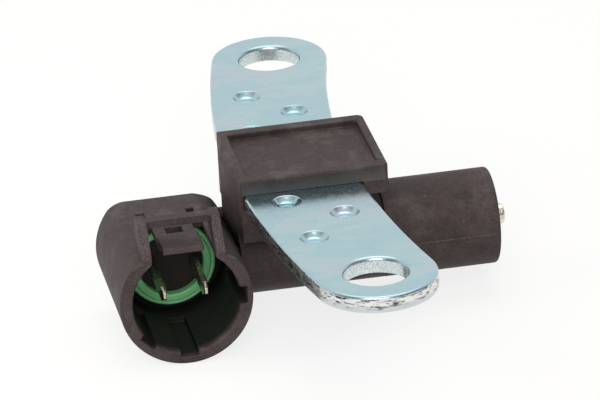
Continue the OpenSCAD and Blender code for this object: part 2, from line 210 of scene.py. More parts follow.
# floor, world and lamps; lengths in metres
studio = {"floorHalf": 0.8, "floorGap": 0.00002, "floorColour": (0.84, 0.82, 0.8, 1), "floorShare": 0.72,
          "floorGlow": 1.1, "ambient": 0.4, "ambientColour": (1, 0.99, 0.97, 1), "white": (1, 1, 1, 1),
          "darkWall": (0.25, 0.26, 0.28), "backWall": (1, 1, 1), "backFade": (-0.25, 0.35),
          "ceiling": 0.8, "ceilingFade": (0.55, 0.85)}
lamps = {"topLamp": {"azimuth": 160, "elevation": 75, "reach": 0.8, "size": 0.7, "power": 1.5,
                     "colour": (1, 1, 1), "mirrored": True},
         "frontLamp": {"azimuth": -12, "elevation": 33, "reach": 0.8, "size": 0.6, "power": 3.1,
                       "colour": (1, 0.99, 0.97), "mirrored": True},
         "sideLamp": {"azimuth": -95, "elevation": 35, "reach": 0.8, "size": 0.5, "power": 1.7,
                      "colour": (1, 1, 1), "mirrored": False}}


def mixShaders(tree, place, factor, first, second):
    node = addNode(tree, "ShaderNodeMixShader", place)
    feed(tree, factor, node.inputs["Fac"])
    tree.links.new(first, node.inputs[1])
    tree.links.new(second, node.inputs[2])
    return node.outputs[0]


def seenDirectly(tree, place):
    light = addNode(tree, "ShaderNodeLightPath", place).outputs
    seen = mathNode(tree, (place[0] + 180, place[1]), "MAXIMUM", light["Is Camera Ray"],
                    light["Is Transmission Ray"])
    return seen, light["Is Glossy Ray"]


def makeFloor():
    half = studio["floorHalf"]
    mesh = bpy.data.meshes.new("floor")
    corners = [(-half, -half, 0), (half, -half, 0), (half, half, 0), (-half, half, 0)]
    mesh.from_pydata(corners, [], [(0, 1, 2, 3)])
    floor = bpy.data.objects.new("floor", mesh)
    floor.location = (0, 0, cadLow.z - studio["floorGap"])
    bpy.context.scene.collection.objects.link(floor)
    material = bpy.data.materials.new("paleFloor")
    material.use_nodes = True
    tree = material.node_tree
    tree.nodes.clear()
    out = addNode(tree, "ShaderNodeOutputMaterial", (700, 0))
    plain = setInputs(addNode(tree, "ShaderNodeBsdfDiffuse", (0, 100)), {"Color": studio["floorColour"]})
    glow = setInputs(addNode(tree, "ShaderNodeEmission", (0, -250)),
                     {"Color": studio["white"], "Strength": studio["floorGlow"]})
    both = mixShaders(tree, (300, -120), studio["floorShare"], plain.outputs[0], glow.outputs[0])
    seen, mirrored = seenDirectly(tree, (-500, 400))
    shown = mathNode(tree, (-140, 400), "MAXIMUM", seen, mirrored)
    tree.links.new(mixShaders(tree, (500, 0), shown, plain.outputs[0], both), out.inputs["Surface"])
    mesh.materials.append(material)


def makeWorld():
    world = bpy.data.worlds.new("softRoom")
    bpy.context.scene.world = world
    world.use_nodes = True
    tree = world.node_tree
    tree.nodes.clear()
    out = addNode(tree, "ShaderNodeOutputWorld", (700, 0))
    room = setInputs(addNode(tree, "ShaderNodeBackground", (0, 100)),
                     {"Color": studio["ambientColour"], "Strength": studio["ambient"]})
    walls = addNode(tree, "ShaderNodeBackground", (0, -50))
    white = setInputs(addNode(tree, "ShaderNodeBackground", (0, -350)),
                      {"Color": studio["white"], "Strength": 1})
    spot = addNode(tree, "ShaderNodeTexCoord", (-900, -50))
    axes = splitAxes(tree, (-700, -50), spot.outputs["Generated"])
    behind = rangeNode(tree, (-500, -50), axes["Y"], *studio["backFade"])
    ceiling = rangeNode(tree, (-500, -300), axes["Z"], *studio["ceilingFade"], 0, studio["ceiling"])
    pale = mathNode(tree, (-350, -150), "MAXIMUM", behind, ceiling)
    wallColour = mixColour(tree, (-250, -50), pale, studio["darkWall"], studio["backWall"])
    tree.links.new(wallColour, walls.inputs["Color"])
    seen, mirrored = seenDirectly(tree, (-400, 300))
    lit = mixShaders(tree, (350, -200), mirrored, room.outputs[0], walls.outputs[0])
    tree.links.new(mixShaders(tree, (500, 0), seen, lit, white.outputs[0]), out.inputs["Surface"])


def makeLamp(name, lamp):
    data = bpy.data.lights.new(name, "AREA")
    data.shape = "DISK"
    data.size = lamp["size"]
    data.energy = lamp["power"]
    data.color = lamp["colour"]
    holder = bpy.data.objects.new(name, data)
    back = towards(lamp["azimuth"], lamp["elevation"])
    holder.location = back * lamp["reach"]
    holder.rotation_mode = "QUATERNION"
    holder.rotation_quaternion = back.to_track_quat("Z", "Y")
    holder.visible_glossy = lamp["mirrored"]
    bpy.context.scene.collection.objects.link(holder)


makeFloor()
makeWorld()
for name, lamp in lamps.items():
    makeLamp(name, lamp)
print("studio lit")


# shared effects: pattern scales count per mm, the reach of the painted shade in crevices is in metres
grainPattern = {"mottle": 0.3, "fleckShare": 0.45, "cells": 1.5, "speckSize": (0.06, 0.17)}
dustPattern = {"cloud": 0.22, "drift": (0.46, 0.72), "upward": (-0.3, 0.8), "onSides": 0.25}
creviceShadePattern = {"samples": 6, "close": (0.15, 0.68), "wide": (0.2, 0.62), "wideShare": 0.8}


def makeGrainGroup(pattern):
    group, given, result = newGroup("mouldGrain", {"Grain": 6, "Speck Share": 0.2},
                                    ("Height", "Mottle", "Fleck", "Speck"))
    spot = placeInMm(group, (-900, 300))
    fine = noiseNode(group, (-500, 400), spot, given["Grain"], detail=4, rough=0.7)
    broad = noiseNode(group, (-500, 150), spot, pattern["mottle"], detail=6, rough=0.62)
    coarse = mathNode(group, (-700, 600), "MULTIPLY", given["Grain"], pattern["fleckShare"])
    fleck = noiseNode(group, (-500, 600), spot, coarse, detail=5, rough=0.75)
    cells = setInputs(addNode(group, "ShaderNodeTexVoronoi", (-500, -150)), {"Scale": pattern["cells"]})
    group.links.new(spot, cells.inputs["Vector"])
    inside = rangeNode(group, (-250, -100), cells.outputs["Distance"], *pattern["speckSize"], 1, 0)
    pick = addNode(group, "ShaderNodeSeparateColor", (-250, -350))
    group.links.new(cells.outputs["Color"], pick.inputs[0])
    chosen = mathNode(group, (0, -350), "LESS_THAN", pick.outputs[0], given["Speck Share"])
    shine = mathNode(group, (0, -500), "MULTIPLY", chosen, pick.outputs[1])
    group.links.new(fine, result["Height"])
    group.links.new(broad, result["Mottle"])
    group.links.new(fleck, result["Fleck"])
    group.links.new(mathNode(group, (250, -200), "MULTIPLY", inside, shine), result["Speck"])
    return group


def makeWearGroup():
    group, given, result = newGroup("edgeWear", {"Patch": 5, "Least": 0.46, "Most": 0.62}, ("Mask",))
    patch = noiseNode(group, (-500, 300), placeInMm(group, (-900, 300)), given["Patch"], detail=6, rough=0.75)
    rubbed = rangeNode(group, (-200, 300), patch, given["Least"], given["Most"])
    edge = addNode(group, "ShaderNodeAttribute", (-500, 0), attribute_name="wear")
    group.links.new(mathNode(group, (200, 200), "MULTIPLY", rubbed, edge.outputs["Fac"]), result["Mask"])
    return group


def makeDustGroup(pattern):
    group, given, result = newGroup("settledDust", {"Amount": 0.5}, ("Mask",))
    spot = placeInMm(group, (-900, 300))
    cloud = noiseNode(group, (-500, 300), spot, pattern["cloud"], detail=7, rough=0.7)
    drift = rangeNode(group, (-250, 300), cloud, *pattern["drift"])
    upward = rangeNode(group, (-100, 0), facingAxes(group, (-500, 0), "Normal")["Z"], *pattern["upward"],
                       pattern["onSides"], 1)
    lying = mathNode(group, (150, 200), "MULTIPLY", drift, upward)
    group.links.new(mathNode(group, (400, 200), "MULTIPLY", lying, given["Amount"]), result["Mask"])
    return group


# painted shade: ambient occlusion at a close and a wide reach darkens crevices, recesses and sheltered places
def makeCreviceShadeGroup(pattern):
    group, given, result = newGroup("creviceShade", {"Reach": 0.001, "Shelter": 0.006}, ("Mask",))
    paintedOcclusion = addNode(group, "ShaderNodeAmbientOcclusion", (-500, 200), samples=pattern["samples"])
    group.links.new(given["Reach"], paintedOcclusion.inputs["Distance"])
    deep = rangeNode(group, (-200, 200), paintedOcclusion.outputs["AO"], *pattern["close"], 1, 0)
    wide = addNode(group, "ShaderNodeAmbientOcclusion", (-500, -100), samples=pattern["samples"])
    group.links.new(given["Shelter"], wide.inputs["Distance"])
    dim = rangeNode(group, (-200, -100), wide.outputs["AO"], *pattern["wide"], pattern["wideShare"], 0)
    group.links.new(mathNode(group, (100, 100), "MAXIMUM", deep, dim), result["Mask"])
    return group


mouldGrain = makeGrainGroup(grainPattern)
edgeWear = makeWearGroup()
settledDust = makeDustGroup(dustPattern)
creviceShade = makeCreviceShadeGroup(creviceShadePattern)
print("shared effects made")


# rounded copies of the solids: each sharp edge gets its own width; lengths in mm, angles in degrees
rounding = {"widest": 0.7, "leastAngle": 28, "sharpAngle": 38, "weld": 0.012, "flatAngle": 0.4,
            "alongShare": 0.8, "roomShare": 0.9}


def edgeRoom(edge):
    along = (edge.verts[1].co - edge.verts[0].co).normalized()
    room = math.inf
    for vert in edge.verts:
        for other in vert.link_edges:
            turned = abs((other.other_vert(vert).co - vert.co).normalized().dot(along))
            if other is not edge and turned < rounding["alongShare"]:
                room = min(room, other.calc_length())
    return rounding["roomShare"] * room / mm


def roundedCopy(node, widthOf, segments, wearOf=lambda spot: 1, rubOf=lambda spot, normal: 0, moveOf=None,
                cutOf=None):
    bm = bmesh.new()
    bm.from_mesh(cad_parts[node].data)
    bmesh.ops.remove_doubles(bm, verts=bm.verts, dist=rounding["weld"] * mm)
    bmesh.ops.dissolve_limit(bm, angle_limit=math.radians(rounding["flatAngle"]), verts=bm.verts,
                             edges=bm.edges)
    if cutOf:
        cutOf(bm)
    if moveOf:
        for vert in bm.verts:
            vert.co = moveOf(vert.co / mm) * mm
    weight = bm.edges.layers.float.new("bevel_weight_edge")
    for edge in bm.edges:
        spot = (edge.verts[0].co + edge.verts[1].co) / (2 * mm)
        if len(edge.link_faces) == 2 and edge.calc_face_angle() > math.radians(rounding["leastAngle"]):
            width = widthOf(spot)
            edge[weight] = width / rounding["widest"] if width < edgeRoom(edge) else 0
    sharp = bpy.data.meshes.new(node + "Sharp")
    bm.to_mesh(sharp)
    bm.free()
    maker = bpy.data.objects.new(node + "Maker", sharp)
    bpy.context.scene.collection.objects.link(maker)
    bevel = maker.modifiers.new("round", "BEVEL")
    bevel.limit_method = "WEIGHT"
    bevel.width = rounding["widest"] * mm
    bevel.segments = segments
    bevel.use_clamp_overlap = False
    bevel.material = 1  # marks the rounded faces
    graph = bpy.context.evaluated_depsgraph_get()
    mesh = bpy.data.meshes.new_from_object(maker.evaluated_get(graph))
    mesh.name = node + "Rounded"
    bpy.data.objects.remove(maker)
    bpy.data.meshes.remove(sharp)
    worn = mesh.attributes.new("wear", "FLOAT", "FACE")
    for face in mesh.polygons:
        spot = Vector(face.center) / mm
        worn.data[face.index].value = wearOf(spot) if face.material_index == 1 else rubOf(spot, face.normal)
        face.material_index = 0
        face.use_smooth = True
    return mesh


def addPiece(node, mesh, material):
    bm = bmesh.new()
    bm.from_mesh(mesh)
    sharpAngle = math.radians(rounding["sharpAngle"])
    for edge in bm.edges:
        edge.smooth = len(edge.link_faces) == 2 and edge.calc_face_angle() < sharpAngle
    bm.to_mesh(mesh)
    bm.free()
    mesh.materials.clear()
    mesh.materials.append(material)
    piece = bpy.data.objects.new(node + "Rounded", mesh)
    bpy.context.scene.collection.objects.link(piece)
    weighted = piece.modifiers.new("weighted", "WEIGHTED_NORMAL")
    weighted.keep_sharp = True
    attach(piece, "root")
    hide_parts(node)


def isIn(value, span):
    return span[0] < value < span[1]


# moulded housing: colours in linear light, places and widths in mm
# shade is a painted shade colour for crevices, recesses and sheltered places
housing = {"base": (0.034, 0.0225, 0.022), "faded": (0.074, 0.055, 0.054), "shade": (0.008, 0.006, 0.006),
           "worn": (0.2, 0.18, 0.175), "dust": (0.17, 0.15, 0.145), "grain": 5.5, "speckShare": 0.22,
           # the bore colour is painted shade for inside the socket
           # the polished colour is a painted bluish sheen, the strip's reflection, for the block's near wall
           "dustAmount": 0.4, "bump": 0.35, "bore": (0.017, 0.019, 0.015), "paintedSheen": (0.05, 0.047, 0.052),
           "socketX": -21.53, "axisZ": -8.9, "mouthY": -15.7, "boreR": 7.2, "flatH": 6.5, "stripTop": 2.2,
           "blockTop": 4.3, "blockHalf": 8.9, "noseFrom": 7.8, "noseEnd": 23.1, "noseR": 6.55,
           "segments": 3, "plain": 0.18, "outer": 0.3, "inside": 0.07, "closed": 0.45, "slot": 0.04,
           # inside the moulding, where edges stay sharp
           "slotEnd": 4.4, "coilR": 5.2, "coilBack": -7, "carrierY": (-1.3, 4.6), "carrierR": 6.3,
           "armHalf": 4.5, "armEnd": -2, "stepX": 7.62, "footX": 3.42, "footTop": -2.6,
           # latch posts, roof, mouth and recess: places, and steps from the sizes above
           "postX": (4.2, 7.3), "postY": (-13.6, -10), "postLow": 4.9, "postRise": 0.9, "roofY": (-5.7, -1),
           "roofLow": 4, "boreY": (-15.2, -1), "boreUnder": 0.8, "rimWall": 1.2, "backY": 4.8, "backX": 8.6,
           "slotMouth": 3.9, "noseRound": 0.8, "noseRim": 1, "pinHoleR": 1.7, "pinHoleX": 20,
           "recessWall": 0.9, "recessX": (-12.3, 6.3),
           # window beside the tongue and the round shoulders of the socket's flat
           "roofEdgeY": -5.6, "roofDeep": 1.1, "windowY": -4.4, "windowHalf": 5, "tongueShift": 0.2,
           "tongueHalf": 2.75, "shoulderX": 4.6, "shoulderEnd": 7.05, "shoulderAngle": 22, "shoulderCuts": 6,
           "leftLift": 1, "rightLift": 0.5, "sameWay": 0.9999,
           # rubbed fronts, and the mould's parting line on the nose
           "rubFacing": -0.5, "rubDepth": 6, "rubUnder": 1, "rubOver": 1.5, "postRub": 0.55, "tongueRub": 0.3,
           "rimRub": 0.16, "boreWear": 0.25, "boreWearFrom": 0.8, "boreEdge": 0.15,
           "seamHalf": 0.11, "seamHeight": 0.08, "seamSink": 0.02, "seamShort": 0.7, "seamWear": 0.7,
           # how far the socket's painted shade reaches, and the near wall's clear coat with its painted
           # bluish sheen
           "shadeOver": 1.05, "shadeUnder": 2.1, "shadeFade": (0.2, 1.6), "coatSheenShort": 0.1, "coatSheenFrom": 8,
           "coatSheenFacing": (-0.95, -0.7), "coatSheenFade": (0.75, 0.1), "polishRough": 0.22}
plasticFinish = {"creviceShadeReach": 1.2, "mottleShare": 0.45, "fleckShare": 0.55, "tone": (0.36, 0.64),
                 "mottle": (0.3, 0.7), "rough": (0.52, 0.7), "specular": 0.22, "grainDepth": 0.03}


# painted shade inside the socket: a mask for the bore, growing from the mouth inwards
def makeBoreShadeGroup():
    inputs = {"Axis X": 0, "Axis Z": 0, "Radius": 7, "Ceiling": 4, "Mouth": -15}
    group, given, result = newGroup("boreShade", inputs, ("Mask",))
    axes = splitAxes(group, (-500, 300), placeInMm(group, (-900, 300)))
    across = mathNode(group, (-300, 400), "SUBTRACT", axes["X"], given["Axis X"])
    above = mathNode(group, (-300, 200), "SUBTRACT", axes["Z"], given["Axis Z"])
    fromAxis = lengthOf(group, (-150, 400), across, above)
    around = mathNode(group, (200, 300), "LESS_THAN", fromAxis, given["Radius"])
    under = mathNode(group, (0, 100), "LESS_THAN", above, given["Ceiling"])
    within = mathNode(group, (300, 300), "MULTIPLY", around, under)
    depth = mathNode(group, (-300, 0), "SUBTRACT", axes["Y"], given["Mouth"])
    deep = rangeNode(group, (-100, 0), depth, *housing["shadeFade"])
    group.links.new(mathNode(group, (400, 200), "MULTIPLY", within, deep), result["Mask"])
    return group


# mask of the block's near wall above the strip, strongest just above it: it drives a real clear coat and a
# painted bluish sheen
def makeWallGroup():
    group, given, result = newGroup("wallCoatAndSheen", {"Above": 2.2, "Height": 2.1, "Front": -8.8, "Left": -13.5},
                                    ("Mask",))
    axes = splitAxes(group, (-500, 300), placeInMm(group, (-900, 300)))
    upper = mathNode(group, (-250, 400), "GREATER_THAN", axes["Z"], given["Above"])
    ahead = mathNode(group, (-250, 200), "LESS_THAN", axes["Y"], given["Front"])
    right = mathNode(group, (-250, 0), "GREATER_THAN", axes["X"], given["Left"])
    upperFront = mathNode(group, (-100, 300), "MULTIPLY", upper, ahead)
    both = mathNode(group, (0, 300), "MULTIPLY", upperFront, right)
    turned = rangeNode(group, (-250, -200), facingAxes(group, (-700, 0), "True Normal")["Y"],
                       *housing["coatSheenFacing"], 1, 0)
    lift = mathNode(group, (-250, 600), "SUBTRACT", axes["Z"], given["Above"])
    share = mathNode(group, (-100, 600), "DIVIDE", lift, given["Height"])
    fade = rangeNode(group, (0, 600), share, 0, 1, *housing["coatSheenFade"])
    frontWall = mathNode(group, (200, 200), "MULTIPLY", both, turned)
    group.links.new(mathNode(group, (400, 300), "MULTIPLY", frontWall, fade), result["Mask"])
    return group


def plasticMaterial(name, look):
    material, tree, shader = newMaterial(name)
    finish = plasticFinish
    grain = useGroup(tree, mouldGrain, (-700, 200), grain=look["grain"], speckShare=look["speckShare"])
    wear = useGroup(tree, edgeWear, (-700, -50))
    dust = useGroup(tree, settledDust, (-700, -300), amount=look["dustAmount"])
    paintedOcclusion = useGroup(tree, creviceShade, (-700, -500), reach=finish["creviceShadeReach"] * mm)
    blend = mathNode(tree, (-550, 400), "ADD",
                     mathNode(tree, (-650, 500), "MULTIPLY", grain["Mottle"], finish["mottleShare"]),
                     mathNode(tree, (-650, 400), "MULTIPLY", grain["Fleck"], finish["fleckShare"]))
    tone = rangeNode(tree, (-450, 400), blend, *finish["tone"])
    colour = mixColour(tree, (-200, 400), tone, look["base"], look["faded"])
    colour = mixColour(tree, (0, 300), dust["Mask"], colour, look["dust"])
    colour = mixColour(tree, (200, 200), wear["Mask"], colour, look["worn"])
    colour = mixColour(tree, (400, 100), grain["Speck"], colour, look["worn"])
    # painted shade: the socket's bore is darkened towards the bore colour, more so further in from the mouth
    if "bore" in look:
        bore = useGroup(tree, makeBoreShadeGroup(), (200, 400), axisX=look["socketX"], axisZ=look["axisZ"],
                        radius=look["boreR"] + look["shadeOver"], ceiling=look["flatH"] - look["shadeUnder"],
                        mouth=look["mouthY"])
        colour = mixColour(tree, (550, 250), bore["Mask"], colour, look["bore"])
    # painted shade: crevices and sheltered places are darkened towards the shade colour
    colour = mixColour(tree, (600, 400), paintedOcclusion["Mask"], colour, look["shade"])
    # the near wall gets a clear coat, which is real gloss, and a painted bluish sheen mixed into its colour
    if "paintedSheen" in look:
        wall = useGroup(tree, makeWallGroup(), (400, 600), above=look["stripTop"],
                        height=look["blockTop"] - look["stripTop"],
                        front=look["coatSheenShort"] - look["blockHalf"],
                        left=look["socketX"] + look["coatSheenFrom"])
        colour = mixColour(tree, (600, 600), wall["Mask"], colour, look["paintedSheen"])
        tree.links.new(wall["Mask"], shader["Coat Weight"])
        shader["Coat Roughness"].default_value = look["polishRough"]
    tree.links.new(colour, shader["Base Color"])
    rough = rangeNode(tree, (-200, 0), grain["Mottle"], *finish["mottle"], *finish["rough"])
    tree.links.new(rough, shader["Roughness"])
    shader["Specular IOR Level"].default_value = finish["specular"]
    bumpInto(tree, shader, grain["Height"], look["bump"], finish["grainDepth"])
    return material


def isBuried(spot):
    s = housing
    below = abs(spot.z - s["axisZ"])
    byStrip = -2 * near < spot.z < s["stripTop"] + 2 * near
    inSlot = byStrip and abs(spot.y) < s["blockHalf"] - near and spot.x < s["slotEnd"]
    inCoil = math.hypot(spot.y, below) < s["coilR"] and s["coilBack"] < spot.x < s["noseEnd"] - 2 * near
    inCarrier = below < s["carrierR"] and abs(spot.x - s["socketX"]) < s["carrierR"]
    inArm = below < s["armHalf"] and s["socketX"] < spot.x < s["armEnd"]
    atStep = abs(spot.x - s["stepX"]) < 3 * near and spot.z < 0
    atFoot = abs(spot.x - s["footX"]) < 2 * near and spot.z < s["footTop"]
    return inSlot or inCoil or atStep or atFoot or isIn(spot.y, s["carrierY"]) and (inCarrier or inArm)


def shoulderDrop(across):
    return max(0, abs(across) - housing["shoulderX"]) * math.tan(math.radians(housing["shoulderAngle"]))


def fallingFaces(bm, side):
    slope = math.radians(housing["shoulderAngle"])
    facing = Vector((side * math.sin(slope), 0, math.cos(slope)))
    return [face for face in bm.faces if face.normal.dot(facing) > housing["sameWay"]]


def roundShoulders(bm):
    s = housing
    run = s["shoulderEnd"] - s["shoulderX"]
    fall = shoulderDrop(s["shoulderEnd"])
    radius = (run ** 2 + fall ** 2) / (2 * fall)
    for side, lift in ((-1, s["leftLift"]), (1, s["rightLift"])):
        for k in range(1, s["shoulderCuts"]):
            across = side * (s["shoulderX"] + run * k / s["shoulderCuts"])
            parts = {}  # keeps its order, so each run cuts alike
            for face in fallingFaces(bm, side):
                parts.update(dict.fromkeys((face, *face.edges, *face.verts)))
            bmesh.ops.bisect_plane(bm, geom=list(parts), plane_co=((s["socketX"] + across) * mm, 0, 0),
                                   plane_no=(1, 0, 0))
        for vert in {vert for face in fallingFaces(bm, side) for vert in face.verts}:
            across = vert.co.x / mm - s["socketX"]
            out = min(max(0, abs(across) - s["shoulderX"]), run)
            arc = radius - math.sqrt(radius ** 2 - out ** 2)
            if out < run - near:
                vert.co.z += lift * (shoulderDrop(across) - arc) * mm


def housingMove(spot):
    s = housing
    above = spot.z - s["axisZ"]
    fromTongue = abs(spot.x - s["socketX"] - s["tongueShift"])
    atRoofEdge = abs(spot.y - s["roofEdgeY"]) < touch and above > s["flatH"] - s["roofDeep"]
    besideTongue = s["tongueHalf"] - near < fromTongue < s["windowHalf"]
    if atRoofEdge and besideTongue:
        return Vector((spot.x, s["windowY"], spot.z))  # window reaches further back beside the tongue
    return spot


def housingWidth(spot):
    s = housing
    across = spot.x - s["socketX"]
    above = spot.z - s["axisZ"]
    fromBore = math.hypot(across, above)
    fromNose = math.hypot(spot.y, above)
    atPost = isIn(abs(across), s["postX"]) and isIn(spot.y, s["postY"])
    atPostFoot = atPost and s["postLow"] < above < s["flatH"] + s["postRise"]
    overBore = above > s["roofLow"] and fromBore < s["boreR"] + 2 * near
    atSlot = abs(spot.y) > s["blockHalf"] - near and -2 * near < spot.z < s["stripTop"] + 2 * near
    if isBuried(spot):
        return 0
    if spot.x > s["noseEnd"] - s["noseRound"] and fromNose > s["noseR"] - s["noseRim"]:
        return 0  # nose end is round in the solid
    if atPostFoot or overBore and isIn(spot.y, s["roofY"]):
        return 0  # feet of the latch posts, and behind the roof
    if fromBore < s["boreR"] + 4 * near and isIn(spot.y, s["boreY"]) and above < s["flatH"] - s["boreUnder"]:
        return s["inside"]
    if spot.y < s["mouthY"] + near and fromBore > s["boreR"] + s["rimWall"]:
        return s["outer"]
    if spot.y > s["backY"] and across < s["backX"]:
        return s["closed"]
    if atSlot and spot.x < s["slotMouth"] or fromNose < s["pinHoleR"] and spot.x > s["pinHoleX"]:
        return s["slot"]
    inRecess = abs(spot.y) <= s["blockHalf"] - s["recessWall"] and isIn(spot.x, s["recessX"])
    if spot.z > s["blockTop"] - near and not inRecess:
        return s["outer"]
    return s["plain"]


def housingWear(spot):
    s = housing
    inBore = math.hypot(spot.x - s["socketX"], spot.z - s["axisZ"]) < s["boreR"] + s["boreEdge"]
    return s["boreWear"] if inBore and spot.y > s["mouthY"] + s["boreWearFrom"] else 1


def housingRub(spot, normal):
    s = housing
    above = spot.z - s["axisZ"]
    if normal.y > s["rubFacing"] or spot.y > s["mouthY"] + s["rubDepth"]:
        return 0
    if above > s["flatH"] - s["rubUnder"]:
        if abs(spot.x - s["socketX"]) > s["postX"][0]:
            return s["postRub"]
        return s["tongueRub"] if above < s["flatH"] + s["rubOver"] else 0  # tongue is rubbed, bar is not
    return s["rimRub"] if spot.y < s["mouthY"] + 2 * near else 0


def addSeams(mesh):
    s = housing
    bm = bmesh.new()
    bm.from_mesh(mesh)
    worn = bm.faces.layers.float["wear"]
    profile = ((-s["seamHalf"], -s["seamSink"]), (0, s["seamHeight"]), (s["seamHalf"], -s["seamSink"]))
    for side in (-1, 1):  # parting line of the mould on both sides of the nose
        rings = []
        for x in (s["noseFrom"], s["noseEnd"] - s["seamShort"]):
            rings.append([bm.verts.new((x * mm, side * (s["noseR"] + out) * mm, (s["axisZ"] + up) * mm))
                          for up, out in profile])
        first, last = rings if side > 0 else rings[::-1]
        for k, after in ((0, 1), (1, 2), (2, 0)):
            flank = bm.faces.new((first[k], last[k], last[after], first[after]))
            flank[worn] = s["seamWear"]
        bm.faces.new(first[::-1])
        bm.faces.new(last)
    bmesh.ops.recalc_face_normals(bm, faces=bm.faces)
    bm.to_mesh(mesh)
    bm.free()


housingMesh = roundedCopy("housing", housingWidth, housing["segments"], housingWear, housingRub, housingMove,
                          roundShoulders)
addSeams(housingMesh)
addPiece("housing", housingMesh, plasticMaterial("housingPlastic", housing))
print("housing made")


# stamped strip in bright zinc plate: colours in linear light, places and widths in mm
strip = {"cool": (0.36, 0.53, 0.58), "pale": (0.42, 0.56, 0.585), "pink": (0.45, 0.53, 0.585),
         "straw": (0.51, 0.575, 0.515), "burnish": (0.84, 0.83, 0.82), "chip": (0.05, 0.05, 0.06),
         "lowBand": (0.62, 0.65, 0.66), "holeDull": (0.36, 0.46, 0.48), "holePale": (0.76, 0.81, 0.81),
         "stops": ((0.3, "pale"), (0.44, "cool"), (0.55, "pale"), (0.62, "pink"), (0.7, "cool"),
                   (0.8, "straw")),
         "streakStretch": (0.45, 1, 1), "satin": 1.1, "satinSpan": (0.3, 0.7), "rough": (0.2, 0.3),
         "grain": 7, "sideRough": 0.05, "chipDepth": 1.5, "bump": 0.07, "bumpDepth": 0.03,
         # bands of the sheared edge, as shares of the thickness
         "wobble": 0.7, "wobbleSpan": (0.25, 0.75), "wobbleShift": 0.16, "bandLow": (0.36, 0.44),
         "bandHigh": (0.8, 0.88), "lowLine": (0.42, 0.1, 0.28), "highLine": (0.8, 0.06, 0.2),
         "sideTilt": (0.15, 0.4), "chipStretch": (0.4, 0.4, 2), "chips": 1.5, "chipSpan": (0.49, 0.57),
         "gritStretch": (9, 9, 5), "gritSpan": (0.41, 0.55),
         # holes, rolled edges and dimples
         "top": 2.2, "holeY": 37, "holeR": 4.2, "holeReach": 5, "segments": 4, "rollOver": 0.4,
         "holeRoll": 0.55, "under": 0.12, "corner": 0.2, "edgeWear": 0.5, "holeWear": 1, "holeWearReach": 1,
         "rim": {"patch": 3.5, "least": 0.47, "most": 0.58},
         "arcR": 164, "dimpleFirst": 4.15, "dimpleStep": 2.1, "dimpleSide": 3.1, "dimpleR": 1.75,
         "dimpleMore": 0.2, "dimpleRim": 0.12, "dimpleDepth": 0.9, "bowlR": 0.95, "bowlCurve": 0.62,
         "bowlSlack": 0.02}


def makeSheenGroup(look):
    group, given, result = newGroup("zincSheen", {"Streak": 0.2}, ("Tint", "Rough", "Height"))
    stretched = placeInMm(group, (-1000, 300), look["streakStretch"])
    streak = noiseNode(group, (-600, 400), stretched, given["Streak"], detail=6, rough=0.6)
    ramp = addNode(group, "ShaderNodeValToRGB", (-300, 400))
    while len(ramp.color_ramp.elements) < len(look["stops"]):
        ramp.color_ramp.elements.new(0.5)
    for element, (position, tint) in zip(ramp.color_ramp.elements, look["stops"]):
        element.position = position
        element.color = (*look[tint], 1)
    group.links.new(streak, ramp.inputs["Fac"])
    group.links.new(ramp.outputs["Color"], result["Tint"])
    spot = placeInMm(group, (-1000, -200))
    satin = noiseNode(group, (-600, -100), spot, look["satin"], detail=6, rough=0.75)
    rough = rangeNode(group, (-300, -100), satin, *look["satinSpan"], *look["rough"])
    group.links.new(rough, result["Rough"])
    height = noiseNode(group, (-600, -400), spot, look["grain"], detail=3, rough=0.7)
    group.links.new(height, result["Height"])
    return group


def lineMask(tree, place, level, line):
    middle, inner, outer = line
    off = mathNode(tree, (place[0] - 200, place[1]), "ABSOLUTE",
                   mathNode(tree, (place[0] - 400, place[1]), "SUBTRACT", level, middle))
    return rangeNode(tree, place, off, inner, outer, 1, 0)


